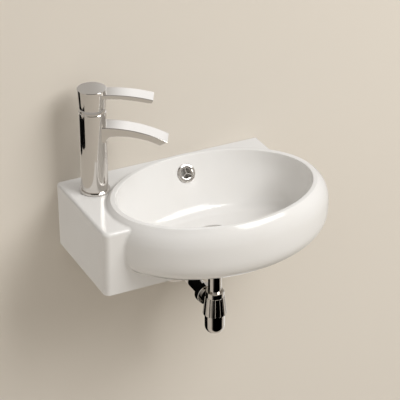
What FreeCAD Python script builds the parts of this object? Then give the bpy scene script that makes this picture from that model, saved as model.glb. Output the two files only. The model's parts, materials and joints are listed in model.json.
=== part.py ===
import FreeCAD, Part
import os
import re
import Sketcher

# Wall hung hand basin, right-hand bowl: a ceramic shelf with an oval bowl grown out of it, a
# single-lever tap on the shelf, a push waste with overflow, a slim bottle trap and its wall fixings.
# Millimetres. The origin lies midway between the two wall fixings on the wall face, +X to the right
# of a person facing the basin, +Y into the wall, +Z up. Heights of the ceramic and the waste are
# counted from the deck (the top of the shelf), those of the tap from the deck at the tap's axis.

SIZES = [
    # ceramic shelf
    ("deck_height", "55", "deck above the wall fixings"),
    ("shelf_length", "361", "length along the wall"),
    ("shelf_depth", "187", "wall to front edge"),
    ("shelf_height", "111.5", "deck to underside"),
    ("side_lean", "1", "how far the sides draw in at the bottom"),
    ("front_lean", "4", "how far the front draws in at the bottom"),
    ("shelf_corner", "10", "radius of the upright front corners"),
    ("shelf_edge", "5.5", "radius round the deck"),
    ("ceramic_wall", "11", "thickness of the fired clay"),
    # ceramic bowl
    ("bowl_x", "32.3", "bowl axis to the right of the fixings' middle"),
    ("bowl_from_wall", "136.8", "bowl axis to the wall"),
    ("pebble_length", "382.8", "outside, at its widest level"),
    ("pebble_width", "277", "outside, at its widest level"),
    ("equator_drop", "37.5", "deck down to the widest level"),
    ("pebble_rise", "76.4", "height of the full curve above the widest level"),
    ("pebble_drop", "65", "depth of the full curve below the widest level"),
    ("rise_fullness", "2.67", "exponent of the upper curve"),
    ("drop_fullness", "3.05", "exponent of the lower curve"),
    ("base_drop", "100", "deck down to the flat base of the bowl"),
    ("rim_height", "8", "rim above the deck"),
    ("lip_end", "3.7", "rim width at the two ends"),
    ("lip_side", "5.4", "rim width at back and front"),
    ("rim_radius", "1.7", "rounding of the rim"),
    ("bowl_depth", "80", "deck down to the floor of the bowl"),
    ("floor_length", "300", "floor of the bowl, corner to corner"),
    ("floor_width", "140", "floor of the bowl, corner to corner"),
    ("floor_radius", "25", "rounding between wall and floor"),
    ("recess_radius", "33", "seat of the waste flange"),
    ("recess_depth", "6", "depth of that seat"),
    ("waste_hole_radius", "23", "hole for the waste"),
    ("boss_radius", "40", "thick clay round the waste hole"),
    ("overflow_drop", "17.7", "deck down to the overflow's centre"),
    ("overflow_radius", "10.6", "overflow hole"),
    ("duct_width", "24", "overflow duct, across"),
    ("duct_depth", "7", "overflow duct, clear depth"),
    ("duct_wall", "8", "clay outside the duct"),
    ("tap_hole_radius", "17.5", "hole in the deck"),
    # fits
    ("fit_gap", "0.05", "radial gap of threads and plain fits"),
    ("seat_gap", "0.2", "gap under a piece that moves"),
    # tap
    ("tap_x", "-135.5", "tap axis from the fixings' middle"),
    ("tap_from_wall", "48.1", "tap axis to the wall"),
    ("tap_turn", "28", "degrees that the spout turns towards the bowl"),
    ("base_seal", "0.8", "rubber under the base ring"),
    ("base_ring_radius", "24.3", "chrome base ring"),
    ("base_ring_height", "4.5", "top of the base ring above the deck"),
    ("body_radius", "21.5", "tap body"),
    ("body_height", "138.3", "shoulder of the body above the deck"),
    ("spout_width", "32", "across the spout"),
    ("spout_inset", "7.5", "start of the spout inside the body's face"),
    ("spout_reach", "116.5", "axis to the tip of the spout"),
    ("spout_crown", "116.6", "highest point of the spout"),
    ("spout_crown_reach", "20", "axis to that point"),
    ("spout_top_radius", "213", "arch of the spout, above"),
    ("spout_under_radius", "135", "arch of the spout, below"),
    ("spout_throat", "102", "highest point of the underside"),
    ("spout_throat_reach", "42", "axis to that point"),
    ("spout_root", "10", "start of the underside's fillet before that point"),
    ("spout_edge", "1.2", "rounding along the spout"),
    ("outlet_face", "14", "length of the slanted outlet face"),
    ("outlet_slant", "27", "degrees that the outlet face leans forward"),
    ("aerator_width", "24", "insert, across the spout"),
    ("aerator_length", "7.4", "insert, along the outlet face"),
    ("aerator_depth", "2.3", "insert, into the spout"),
    ("aerator_set", "0.4", "insert back from the outlet face"),
    ("aerator_plate", "1", "slotted face of the insert"),
    ("aerator_from_tip", "8.2", "tip of the spout to the insert's middle"),
    ("inlet_radius", "4.5", "tapped hole for a supply hose, M10 x 1"),
    ("inlet_depth", "14", "depth of that hole"),
    ("inlet_circle", "9.5", "circle of the two inlets and the fixing stud"),
    ("stud_radius", "4", "M8 fixing stud"),
    ("stud_drop", "62", "end of the stud below the deck"),
    ("stud_grip", "12", "stud inside the tap body"),
    ("clamp_radius", "23", "horseshoe clamp under the deck"),
    ("clamp_slot", "13", "half width of its slot"),
    ("clamp_seal", "2", "rubber horseshoe"),
    ("clamp_plate", "2.5", "steel horseshoe"),
    ("tap_nut_height", "18", "long fixing nut"),
    ("tap_nut_corner", "7.5", "half its width across corners"),
    # cartridge
    ("chamber_radius", "17.6", "bore for the cartridge"),
    ("chamber_depth", "28.3", "depth of that bore below the body's shoulder"),
    ("port_circle", "7.5", "circle of the three water ports"),
    ("port_radius", "3", "water ports"),
    ("cartridge_radius", "17.5", "35 mm cartridge"),
    ("cartridge_seal", "1.5", "seal under the cartridge"),
    ("cartridge_base_height", "4", "base plate"),
    ("disc_radius", "14.2", "fixed ceramic disc"),
    ("disc_height", "3", "fixed ceramic disc"),
    ("slider_radius", "10.8", "moving ceramic disc"),
    ("slider_height", "4", "moving ceramic disc"),
    ("slider_travel", "4.8", "stroke of the moving disc"),
    ("carrier_radius", "7", "carrier on the moving disc"),
    ("carrier_height", "4", "carrier on the moving disc"),
    ("cavity_radius", "14.5", "inside of the cartridge"),
    ("cartridge_shoulder", "8.3", "shoulder of the cartridge below the body's shoulder"),
    ("collar_radius", "13", "neck of the cartridge"),
    ("collar_rise", "4.7", "top of that neck above the body's shoulder"),
    ("turret_radius", "10.1", "turning piece in the neck"),
    ("stem_width", "8", "stem across the tap"),
    ("stem_depth", "7", "stem along the spout"),
    ("stem_rise", "27.7", "top of the stem above its pin"),
    ("stem_block", "6.3", "foot of the square stem below its pin"),
    ("stem_swing", "6.5", "half the slot that the stem swings in"),
    ("stem_ball", "3", "ball at the foot of the stem"),
    ("stem_ball_drop", "15.8", "ball below the pin"),
    ("pin_radius", "1.5", "cross pin of the stem"),
    ("pin_length", "18", "cross pin of the stem"),
    ("nut_thread", "19", "outside of the cartridge nut"),
    ("nut_neck", "16.4", "neck of the cartridge nut"),
    ("dome_radius", "20.3", "dome cover, about the stem's pin"),
    ("dome_wall", "2", "dome cover"),
    ("dome_mouth", "11.5", "opening in the dome"),
    # handle
    ("handle_gap", "7.4", "rim of the handle above the body's shoulder"),
    ("handle_foot", "21", "handle radius at its rim"),
    ("handle_head", "22.75", "handle radius at the top"),
    ("handle_rise", "38.7", "top of the handle above the body's shoulder"),
    ("handle_clearance", "0.3", "between the handle and the dome"),
    ("lever_width", "30", "across the lever"),
    ("lever_height", "7", "thickness of the lever"),
    ("lever_reach", "95", "axis to the tip of the lever"),
    ("lever_crown_drop", "4.8", "highest point of the lever below the top of the handle"),
    ("lever_crown_reach", "33", "axis to that point"),
    ("lever_radius", "252", "arch of the lever"),
    ("lever_edge", "0.9", "rounding along the lever"),
    ("screw_radius", "2.5", "set screw, M5"),
    ("screw_length", "8", "set screw"),
    ("key_radius", "1.2", "socket for the key in the set screw"),
    ("key_depth", "3", "socket for the key in the set screw"),
    ("cap_radius", "3.6", "cap over the set screw"),
    ("cap_height", "2.5", "cap over the set screw"),
    # waste
    ("flange_radius", "32", "waste flange"),
    ("flange_height", "4.2", "waste flange"),
    ("flange_seal", "1", "seal under the flange"),
    ("waste_radius", "20.9", "waste tube, G 1 1/4"),
    ("waste_bore", "18.4", "waste tube, inside"),
    ("window_width", "12", "overflow windows in the waste tube"),
    ("guide_height", "8", "cross guide of the plug's stem"),
    ("waste_length", "56", "underside of the flange to the end of the tube"),
    ("plug_radius", "26", "cap of the push plug"),
    ("plug_height", "2.6", "cap of the push plug"),
    ("plug_crown", "0.6", "rise of its domed top"),
    ("plug_seal", "1", "ring under the cap"),
    ("plug_stem_radius", "4", "stem of the plug"),
    ("plug_stem_length", "38", "stem of the plug"),
    ("plug_travel", "8", "stroke of the push plug"),
    ("lower_seal", "3", "seal under the boss"),
    ("backnut_radius", "30", "backnut, half its width across corners"),
    ("backnut_height", "7", "backnut"),
    # trap
    ("tube_radius", "11", "22 mm tube"),
    ("tube_wall", "1", "22 mm tube"),
    ("tube_flange", "17.5", "rolled flange of the inlet tube"),
    ("coupling_radius", "25.5", "coupling nut"),
    ("coupling_height", "22", "coupling nut"),
    ("coupling_lip", "6", "cone at its foot"),
    ("trap_washer", "1.5", "flat washers of the trap"),
    ("trap_top", "193.5", "deck down to the top of the trap body"),
    ("crown_radius", "15.5", "inlet nut"),
    ("crown_height", "9.5", "inlet nut"),
    ("trap_body_top", "16", "trap body radius, top"),
    ("trap_body_foot", "19.5", "trap body radius, bottom"),
    ("trap_body_height", "33", "trap body"),
    ("trap_flutes", "14", "flutes round the trap body"),
    ("flute_radius", "1.6", "flutes round the trap body"),
    ("neck_radius", "13.6", "threaded neck of the trap body"),
    ("socket_depth", "5.5", "socket for the cup"),
    ("cup_radius", "16.5", "trap cup"),
    ("cup_height", "37.5", "trap cup"),
    ("cup_round", "14", "rounding of its bottom"),
    ("cup_wall", "1.5", "trap cup"),
    ("trap_dip", "24", "tube end below the top of the trap body"),
    ("outlet_drop", "208.5", "deck down to the outlet's axis"),
    ("branch_radius", "13.4", "side branch of the trap body"),
    ("branch_reach", "36", "trap axis to the end of the branch"),
    ("union_radius", "17.5", "nut on the branch"),
    ("union_length", "13", "nut on the branch"),
    ("pipe_in_wall", "40", "outlet pipe past the wall face"),
    ("pipe_groove", "0.4", "depth of the rolled mark that shows how far the pipe goes in"),
    ("pipe_groove_width", "1.5", "width of that mark"),
    ("pipe_groove_place", "3.5", "that mark in front of the wall face"),
    ("rosette_radius", "34", "wall rosette"),
    ("rosette_depth", "12", "wall rosette"),
    # overflow ring
    ("ring_radius", "15.5", "overflow ring"),
    ("ring_height", "2.6", "overflow ring above the glaze"),
    ("ring_mouth", "9.6", "opening of the ring"),
    ("ring_sleeve", "12", "clip sleeve in the hole"),
    ("spoke_width", "1.6", "three spokes"),
    ("spoke_depth", "1.6", "foot of the spokes below the glaze"),
    # wall fixings
    ("fixing_spacing", "280", "between the two wall bolts"),
    ("fixing_hole", "9", "hole in the back wall"),
    ("bolt_radius", "5", "wood screw end of the wall bolt"),
    ("bolt_thread", "4.8", "M10 end of the wall bolt"),
    ("bolt_step", "0.5", "wood screw end in front of the wall face"),
    ("bolt_in_wall", "60", "bolt past the wall face"),
    ("bolt_inside", "38", "bolt on the basin's side"),
    ("bush_flange", "15", "plastic bush"),
    ("bush_height", "3", "flange of the bush"),
    ("bolt_washer", "2", "steel washer"),
    ("bolt_nut_corner", "9.2", "nut, half its width across corners"),
    ("bolt_nut_height", "8", "nut"),
]

# Values worked out from the sizes, in the sheet's own formula language.
WORKED_OUT = {
    "rim_level": "(1 - abs((rim_height + equator_drop) / pebble_rise) ^ rise_fullness) ^ (1 / rise_fullness)",
    "opening_a": "pebble_length / 2 * rim_level - lip_end",
    "opening_b": "pebble_width / 2 * rim_level - lip_side",
    "wall_run": "opening_b - floor_width / 2",
    "wall_fall": "rim_height + bowl_depth",
    "wall_slope": "sqrt(wall_run ^ 2 + wall_fall ^ 2)",
    "back_edge": "bowl_from_wall - opening_b",
    "duct_top": "-overflow_drop + 8",
    "duct_roof": "-bowl_depth - ceramic_wall",
    "duct_floor": "duct_roof - duct_depth",
    "boss_foot": "duct_floor - duct_wall",
    "flange_foot": "-bowl_depth - recess_depth + flange_seal",
    "flange_top": "flange_foot + flange_height",
    "plug_ledge": "flange_top - 1.6",
    "ring_seat": "ring_radius ^ 2 * opening_b / (2 * opening_a ^ 2) + fit_gap",
    "waste_foot": "flange_foot - waste_length",
    "coupling_foot": "waste_foot - trap_washer - 2 - coupling_lip",
    "chamber_floor": "body_height - chamber_depth",
    "handle_top": "body_height + handle_rise",
    "lever_crown": "handle_top - lever_crown_drop",
    "base_foot": "chamber_floor + cartridge_base_height",
    "slider_foot": "base_foot + disc_height",
    "slider_top": "slider_foot + slider_height",
    "shoulder_z": "body_height - cartridge_shoulder",
    "collar_top": "body_height + collar_rise",
    "handle_foot_z": "body_height + handle_gap",
    "screw_z": "handle_foot_z + 15.5",
    "outlet_x": "spout_reach - aerator_from_tip * cos(outlet_slant)",
    "outlet_z": "spout_tip_z - aerator_from_tip * sin(outlet_slant)",
    "spout_tip_z": "spout_crown - spout_top_radius"
                   " + sqrt(spout_top_radius ^ 2 - (spout_reach - spout_crown_reach) ^ 2)",
    "spout_heel_x": "spout_reach - outlet_face * cos(outlet_slant)",
    "spout_heel_z": "spout_tip_z - outlet_face * sin(outlet_slant)",
    "cup_top": "-trap_top - trap_body_height",
    "socket_top": "cup_top + socket_depth",
    "neck_top": "-trap_top + 5",
    "tube_top": "waste_foot - trap_washer",
    "plug_foot": "plug_ledge + seat_gap + plug_seal",
    "guide_foot": "plug_foot - plug_stem_length + plug_travel / 2",
    "cavity_top": "shoulder_z - 1.7",
    "turret_foot": "slider_top + carrier_height + 0.4",
}

SIZE_NAMES = {name for name, number, meaning in SIZES}
X_AXIS = FreeCAD.Vector(1, 0, 0)
Y_AXIS = FreeCAD.Vector(0, 1, 0)
Z_AXIS = FreeCAD.Vector(0, 0, 1)

document = FreeCAD.newDocument("wall_hung_basin")
sheet = document.addObject("Spreadsheet::Sheet", "sizes")
pieces = []


def fill_sheet():
    """Write each size on a row of its own: number with alias, name and meaning."""
    for row, (name, number, meaning) in enumerate(SIZES, start=1):
        sheet.set(f"A{row}", number)
        sheet.setAlias(f"A{row}", name)
        sheet.set(f"B{row}", name)
        sheet.set(f"C{row}", meaning)
    document.recompute()


def formula(text):
    """Turn the plain words of a formula into references to the sheet."""
    def spell(match):
        word = match.group()
        if word in WORKED_OUT:
            return "(" + formula(WORKED_OUT[word]) + ")"
        return "sizes." + word if word in SIZE_NAMES else word
    return re.sub(r"[a-z]\w*", spell, text)


def value(text):
    """The present number of a formula."""
    result = sheet.evalExpression(formula(text))
    return getattr(result, "Value", result)


def bind(item, **formulas):
    """Tie properties to the sheet; a double underscore in a path stands for a dot."""
    for path, text in formulas.items():
        item.setExpression(path.replace("__", "."), formula(text))
    return item


def place(item, x="0", y="0", z="0", axis=Z_AXIS, turn="0"):
    """Put an item at a bound place, turned about one axis."""
    item.Placement = FreeCAD.Placement(FreeCAD.Vector(), FreeCAD.Rotation(axis, 1))
    turned_by = {"Placement__Rotation__Angle": turn}
    return bind(item, Placement__Base__x=x, Placement__Base__y=y, Placement__Base__z=z, **turned_by)


def keep(item, label):
    """Name a finished piece and put it on the list of pieces."""
    item.Label = label
    pieces.append(item)
    return item


# Shapes ------------------------------------------------------------------------------------------

def cylinder(radius, height, x="0", y="0", z="0", axis=Z_AXIS, turn="0"):
    item = document.addObject("Part::Cylinder", "cylinder")
    bind(item, Radius=radius, Height=height)
    return place(item, x, y, z, axis, turn)


def box(length, width, height, x="0", y="0", z="0"):
    """A box whose corner with the lowest coordinates is given."""
    item = document.addObject("Part::Box", "box")
    bind(item, Length=length, Width=width, Height=height)
    return place(item, x, y, z)


def sphere(radius, z="0"):
    item = document.addObject("Part::Sphere", "sphere")
    bind(item, Radius=radius)
    return place(item, z=z)


def hexagon(corner, height, x="0", y="0", z="0"):
    item = document.addObject("Part::Prism", "hexagon")
    item.Polygon = 6
    bind(item, Circumradius=corner, Height=height)
    return place(item, x, y, z)


def fuse(*items):
    item = document.addObject("Part::MultiFuse", "fusion")
    item.Shapes = list(items)
    return item


def cut(base, *tools):
    item = document.addObject("Part::Cut", "cut")
    item.Base = base
    item.Tool = tools[0] if len(tools) == 1 else fuse(*tools)
    return item


def common(base, tool):
    item = document.addObject("Part::Common", "common")
    item.Base = base
    item.Tool = tool
    return item


def origin_plane(body, role):
    return next(plane for plane in body.Origin.OriginFeatures if plane.Role == role)


def arc_middle(start, end, radius, side):
    """The point halfway along a short arc; side is 1 when it bulges to the left of its travel."""
    chord = end - start
    sagitta = radius - (radius ** 2 - chord.Length ** 2 / 4) ** 0.5
    left = FreeCAD.Vector(-chord.y, chord.x, 0).normalize()
    return (start + end) * 0.5 + left * (side * sagitta)


def outline(body, plane, corners):
    """A closed sketch. Each corner is (across, up), and (across, up, radius, side) starts an arc."""
    sketch = body.newObject("Sketcher::SketchObject", body.Name + "_outline")
    sketch.AttachmentSupport = [(origin_plane(body, plane), "")]
    sketch.MapMode = "FlatFace"
    points = [FreeCAD.Vector(value(corner[0]), value(corner[1]), 0) for corner in corners]
    ends = []
    for number, corner in enumerate(corners):
        start = points[number]
        end = points[(number + 1) % len(points)]
        if len(corner) == 2:
            sketch.addGeometry(Part.LineSegment(start, end), False)
        else:
            middle = arc_middle(start, end, value(corner[2]), corner[3])
            sketch.addGeometry(Part.Arc(start, middle, end), False)
        first_is_start = sketch.getPoint(number, 1).distanceToPoint(start) < 1e-6
        ends.append((1, 2) if first_is_start else (2, 1))
    for number, corner in enumerate(corners):
        following = (number + 1) % len(corners)
        joint = Sketcher.Constraint("Coincident", number, ends[number][1], following, ends[following][0])
        sketch.addConstraint(joint)
        for kind, text, start in (("DistanceX", corner[0], points[number].x),
                                  ("DistanceY", corner[1], points[number].y)):
            at_start = Sketcher.Constraint(kind, -1, 1, number, ends[number][0], start)
            index = sketch.addConstraint(at_start)
            sketch.setExpression(f"Constraints[{index}]", formula(text))
        if len(corner) == 4:
            index = sketch.addConstraint(Sketcher.Constraint("Radius", number, value(corner[2])))
            sketch.setExpression(f"Constraints[{index}]", formula(corner[2]))
    return sketch


def turned(name, *corners):
    """A body turned about Z from an outline of (radius, height) corners."""
    body = document.addObject("PartDesign::Body", name)
    sketch = outline(body, "XZ_Plane", corners)
    feature = body.newObject("PartDesign::Revolution", name + "_turned")
    feature.Profile = sketch
    feature.ReferenceAxis = (sketch, ["V_Axis"])
    feature.Angle = 360
    return body


def padded(name, plane, width, *corners):
    """A body padded to both sides of one of its origin planes."""
    body = document.addObject("PartDesign::Body", name)
    feature = body.newObject("PartDesign::Pad", name + "_pad")
    feature.Profile = outline(body, plane, corners)
    feature.SideType = "Symmetric"
    bind(feature, Length=width)
    return body


def rounded(name, base, radius, chooses):
    """A body over a finished shape, with the chosen edges rounded."""
    body = document.addObject("PartDesign::Body", name)
    body.BaseFeature = base
    document.recompute()
    return round_edges(body, radius, chooses)


def round_edges(body, radius, chooses):
    """Round the edges of a body's last feature whose middle point and edge are chosen."""
    document.recompute()
    last = body.Tip
    names = []
    for number, edge in enumerate(last.Shape.Edges, start=1):
        middle = edge.valueAt((edge.FirstParameter + edge.LastParameter) / 2)
        if chooses(middle, edge):
            names.append(f"Edge{number}")
    if not names:
        raise RuntimeError(f"{body.Name} has no edge to round")
    feature = body.newObject("PartDesign::Fillet", body.Name + "_rounding")
    feature.Base = (last, names)
    bind(feature, Radius=radius)
    body.Tip = feature
    return body


def mirrored_pair(item):
    """An item and its image across the middle plane of the fixings."""
    image = document.addObject("Part::Mirroring", "image")
    image.Source = item
    image.Normal = X_AXIS
    pair = document.addObject("Part::Compound", "pair")
    pair.Links = [item, image]
    return pair


def grouped(item):
    """A wrapper that gives a placed item a second placement."""
    group = document.addObject("Part::Compound", "group")
    group.Links = [item]
    return group


def is_level(edge):
    return edge.BoundBox.ZLength < 0.01


# Ceramic -----------------------------------------------------------------------------------------

def shelf(inset, foot, back):
    """The shelf, or its hollow when inset by the wall: a box that draws in towards the bottom."""
    body = document.addObject("PartDesign::Body", "shelf")
    wedge = body.newObject("PartDesign::AdditiveWedge", "shelf_block")
    bind(wedge, Xmin=f"-shelf_length / 2 + side_lean + {inset}", Xmax=f"shelf_length / 2 - {inset}",
         X2min=f"-shelf_length / 2 + {inset}", X2max=f"shelf_length / 2 - {inset}",
         Ymin=f"deck_height - shelf_height - {foot}", Ymax=f"deck_height - {inset}",
         Zmin=back, Zmax=f"shelf_depth - front_lean - {inset}",
         Z2min=back, Z2max=f"shelf_depth - {inset}")
    wedge.Placement = FreeCAD.Placement(FreeCAD.Vector(), FreeCAD.Rotation(X_AXIS, 90))
    return body


def shelf_block():
    """The shelf with its upright front corner and the deck's edge rounded, reaching into the wall."""
    body = shelf("0", "0", "-ceramic_wall")
    front = value("-shelf_depth + front_lean / 2")
    round_edges(body, "shelf_corner",
                lambda at, edge: not is_level(edge) and abs(at.y - front) < 1 and at.x < 0)
    deck = value("deck_height")
    round_edges(body, "shelf_edge",
                lambda at, edge: is_level(edge) and abs(at.z - deck) < 0.01 and at.y < 0)
    return body


def in_front(item, distance):
    """What lies in front of a plane at a distance from the wall face."""
    block = box("2 * shelf_length", "2 * shelf_depth", "4 * shelf_height",
                "-shelf_length", f"-2 * shelf_depth - {distance}", "-2 * shelf_height")
    return common(item, block)


def oval(half_length, half_width, height, turn):
    """A level ellipse on the bowl's axis, its height counted from the deck."""
    item = document.addObject("Part::Ellipse", "oval")
    bind(item, MajorRadius=half_length, MinorRadius=half_width)
    return place(item, "bowl_x", "-bowl_from_wall", f"deck_height + {height}", turn=turn)


def loft(ovals):
    item = document.addObject("Part::Loft", "loft")
    item.Sections = ovals
    item.Solid = True
    return item


def pebble(inset, upper, lower, turn):
    """The oval outside of the bowl, or its hollow when inset, full above and below its widest level."""
    ovals = []
    for heights, extent, fullness in ((upper, "pebble_rise", "rise_fullness"),
                                      (lower, "pebble_drop", "drop_fullness")):
        for height in heights:
            rise = f"abs(({height} + equator_drop) / ({extent} - {inset}))"
            share = f"(1 - {rise} ^ {fullness}) ^ (1 / {fullness})"
            ovals.append(oval(f"(pebble_length / 2 - {inset}) * {share}",
                              f"(pebble_width / 2 - {inset}) * {share}", height, turn))
    return loft(ovals)


def outside():
    """Shelf and bowl together, cut off at the wall face."""
    upper = [f"((rim_height + equator_drop) * {share} - equator_drop)" for share in (1, 0.88, 0.7, 0.45, 0.2)]
    lower = [f"((equator_drop - base_drop) * {share} - equator_drop)"
             for share in (0, 0.28, 0.52, 0.73, 0.87, 0.95, 1)]
    return in_front(fuse(shelf_block(), pebble("0", upper, lower, "0")), "0")


def half_axis(opening, floor_size, outset, height):
    """Half the bowl's length or width at a height: a straight wall that an arc joins to the floor."""
    run = f"({opening} - {floor_size} / 2)"
    lean = f"atan({run} / wall_fall)"
    radius = f"(floor_radius + {outset})"
    above = f"({height} + bowl_depth + {outset})"
    corner = f"({floor_size} / 2 + {outset} - {run} * {outset} / wall_fall)"
    reach = f"({radius} * tan((90 deg - {lean}) / 2))"
    arc = f"{corner} - {reach} + sqrt({radius} ^ 2 - ({radius} - min({above}; {radius})) ^ 2)"
    line = f"{corner} + {run} * {above} / wall_fall"
    return f"({above} < {reach} * cos({lean})) ? ({arc}) : ({line})"


def bowl(outset, top, turn):
    """The inside of the bowl, or its outside when set out by the wall."""
    radius = f"(floor_radius + {outset})"
    floor = f"(-bowl_depth - {outset})"
    heights = [f"({floor} + {radius} * (1 - cos({degrees})))" for degrees in (0, 16, 32, 48, 64, 80)]
    start = f"({floor} + {radius})"
    heights += [f"({start} + ({top} - {start}) * {share})" for share in (0.2, 0.6, 1)]
    return loft([oval(half_axis("opening_a", "floor_length", outset, height),
                      half_axis("opening_b", "floor_width", outset, height), height, turn)
                 for height in heights])


def behind_wall(height, depth):
    """How far in front of the wall the bowl's back wall is, at a height and a depth behind its face."""
    return (f"(-back_edge - (rim_height - ({height}) - ({depth}) * wall_run / wall_slope)"
            f" * wall_run / wall_fall + ({depth}) * wall_fall / wall_slope)")


def overflow_rib():
    """The thick clay down the back of the bowl and under its floor, which holds the duct."""
    outer = "ceramic_wall + duct_depth + duct_wall"
    inner = "ceramic_wall / 2"
    top = "-ceramic_wall / 2"
    floor = "-bowl_depth - ceramic_wall / 2"
    body = padded("overflow_rib", "YZ_Plane", "duct_width + 2 * duct_wall",
                  (behind_wall("0", outer), top), (behind_wall("boss_foot", outer), "boss_foot"),
                  ("-bowl_from_wall", "boss_foot"), ("-bowl_from_wall", floor),
                  (behind_wall(floor, inner), floor), (behind_wall(top, inner), top))
    return place(body, "bowl_x", "0", "deck_height")


def overflow_duct():
    """The flat duct from the overflow hole down to the waste hole."""
    outside = "ceramic_wall + duct_depth"
    body = padded("overflow_duct", "YZ_Plane", "duct_width",
                  (behind_wall("duct_top", outside), "duct_top"),
                  (behind_wall("duct_floor", outside), "duct_floor"),
                  ("-bowl_from_wall + waste_hole_radius / 2", "duct_floor"),
                  ("-bowl_from_wall + waste_hole_radius / 2", "duct_roof"),
                  (behind_wall("duct_roof", "ceramic_wall"), "duct_roof"),
                  (behind_wall("duct_top", "ceramic_wall"), "duct_top"))
    return place(body, "bowl_x", "0", "deck_height")


def at_overflow(item):
    """Set an item on the bowl's back wall, its Z axis out of the glaze and its face on the curved wall."""
    return place(item, "bowl_x", behind_wall("-overflow_drop", "-ring_seat"),
                 "deck_height - overflow_drop", X_AXIS, "atan(wall_fall / wall_run)")


def overflow_hole():
    """The round hole from the glaze into the duct."""
    deep = "-ceramic_wall - duct_depth / 2"
    return at_overflow(turned("overflow_hole", ("0", deep), ("overflow_radius", deep),
                              ("overflow_radius", "ceramic_wall / 2"), ("0", "ceramic_wall / 2")))


def underside():
    """All that is open from below: the hollow of the shelf and the space round the bowl."""
    hollow = pebble("ceramic_wall", ["(-ceramic_wall - 7)"], ["(-equator_drop)", "(-base_drop + 2 * ceramic_wall)"],
                    "180")
    boss = on_drain(cylinder("boss_radius", "-boss_foot - bowl_depth - ceramic_wall / 2"), "boss_foot")
    return cut(fuse(shelf("ceramic_wall", "1", "ceramic_wall"), in_front(hollow, "2 * ceramic_wall")),
               fuse(bowl("ceramic_wall", "(-ceramic_wall / 2)", "180"), boss, overflow_rib()))


def on_drain(item, height="0"):
    """Set an item on the bowl's axis, at a height counted from the deck."""
    return place(item, "bowl_x", "-bowl_from_wall", f"deck_height + {height}")


def make_basin():
    """The ceramic: outside, bowl and underside, then the holes and the rounded rim."""
    body = cut(cut(outside(), bowl("0", "(rim_height + ceramic_wall)", "0")), underside())
    recess = on_drain(cylinder("recess_radius", "recess_depth + 1"), "(-bowl_depth - recess_depth)")
    waste_hole = on_drain(cylinder("waste_hole_radius", "shelf_height"), "(-shelf_height - 1)")
    tap_hole = cylinder("tap_hole_radius", "2 * ceramic_wall", "tap_x", "-tap_from_wall",
                        "deck_height - 1.5 * ceramic_wall")
    wall_holes = [cylinder("fixing_hole", "2 * ceramic_wall", f"{side} * fixing_spacing / 2",
                           "0.5 * ceramic_wall", "0", X_AXIS, "90") for side in (-1, 1)]
    body = cut(body, recess, waste_hole, tap_hole, *wall_holes)
    body = cut(cut(body, overflow_duct()), overflow_hole())
    rim = value("deck_height + rim_height")
    basin = rounded("basin_ceramic", body, "min(rim_radius; 0.45 * lip_end)",
                    lambda at, edge: is_level(edge) and abs(at.z - rim) < 0.01)
    keep(basin, "basin")


def make_overflow_ring():
    """A clip-in ring with a stepped lip and three spokes over its mouth."""
    sleeve = "overflow_radius - fit_gap"
    blank = turned("overflow_ring_blank",
                   ("ring_mouth - 1", "-ring_sleeve"), (sleeve, "-ring_sleeve"), (sleeve, "0"),
                   ("ring_radius", "0"), ("ring_radius", "0.4 * ring_height"),
                   ("ring_radius - 1.2", "0.8 * ring_height"), ("ring_mouth + 2.6", "ring_height"),
                   ("ring_mouth + 1.4", "ring_height"), ("ring_mouth + 0.6", "0.55 * ring_height"),
                   ("ring_mouth", "0.5 * ring_height"), ("ring_mouth", "-spoke_depth"),
                   ("ring_mouth - 1", "-spoke_depth"))
    tip = "ring_mouth + 0.8"
    spokes = [place(padded("spoke", "XZ_Plane", "spoke_width", ("0", "-spoke_depth"), (tip, "-spoke_depth"),
                           (tip, "0.3"), ("0", "0.3")), turn=f"{angle}")
              for angle in (-25, 95, 215)]
    keep(at_overflow(fuse(blank, *spokes)), "overflow_ring")


# Wall fixings ------------------------------------------------------------------------------------

def at_fixings(item):
    """Set an item at both wall fixings, its Z axis into the wall."""
    return mirrored_pair(place(item, "fixing_spacing / 2", axis=X_AXIS, turn="-90"))


def ring(name, inner, outer, foot, top):
    """A plain ring, such as a washer or a seal."""
    return turned(name, (inner, foot), (outer, foot), (outer, top), (inner, top))


def make_wall_fixings():
    """Bolts out of the wall, with bushes, washers and nuts inside the shelf's back wall."""
    bolt = turned("wall_bolt", ("0", "-bolt_inside"), ("bolt_thread - 0.8", "-bolt_inside"),
                  ("bolt_thread", "-bolt_inside + 0.8"), ("bolt_thread", "-bolt_step"),
                  ("bolt_radius", "-bolt_step"), ("bolt_radius", "bolt_in_wall - 9"),
                  ("1", "bolt_in_wall"), ("0", "bolt_in_wall"))
    keep(at_fixings(bolt), "wall_bolts")
    bore = "bolt_thread + fit_gap"
    sleeve = "fixing_hole - 4 * fit_gap"
    bush_foot = "-ceramic_wall - bush_height"
    bush = turned("wall_bush", (bore, bush_foot), ("bush_flange", bush_foot),
                  ("bush_flange", "-ceramic_wall"), (sleeve, "-ceramic_wall"), (sleeve, "-1"), (bore, "-1"))
    keep(at_fixings(bush), "wall_bushes")
    washer_foot = bush_foot + " - bolt_washer"
    keep(at_fixings(ring("wall_washer", bore, "bush_flange - 2", washer_foot, bush_foot)), "wall_washers")
    nut_foot = washer_foot + " - bolt_nut_height"
    nut = cut(hexagon("bolt_nut_corner", "bolt_nut_height", z=nut_foot),
              cylinder(bore, "bolt_nut_height", z=nut_foot))
    keep(at_fixings(nut), "wall_nuts")


# Tap ---------------------------------------------------------------------------------------------

def on_tap(item):
    """Set an item on the tap's axis on the deck, its X axis along the spout."""
    return place(item, "tap_x", "-tap_from_wall", "deck_height", turn="-tap_turn")


def on_circle(radius, height, z, circle, degrees):
    """An upright cylinder on a circle round the tap's axis."""
    return cylinder(radius, height, f"{circle} * cos({degrees})", f"{circle} * sin({degrees})", z)


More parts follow.
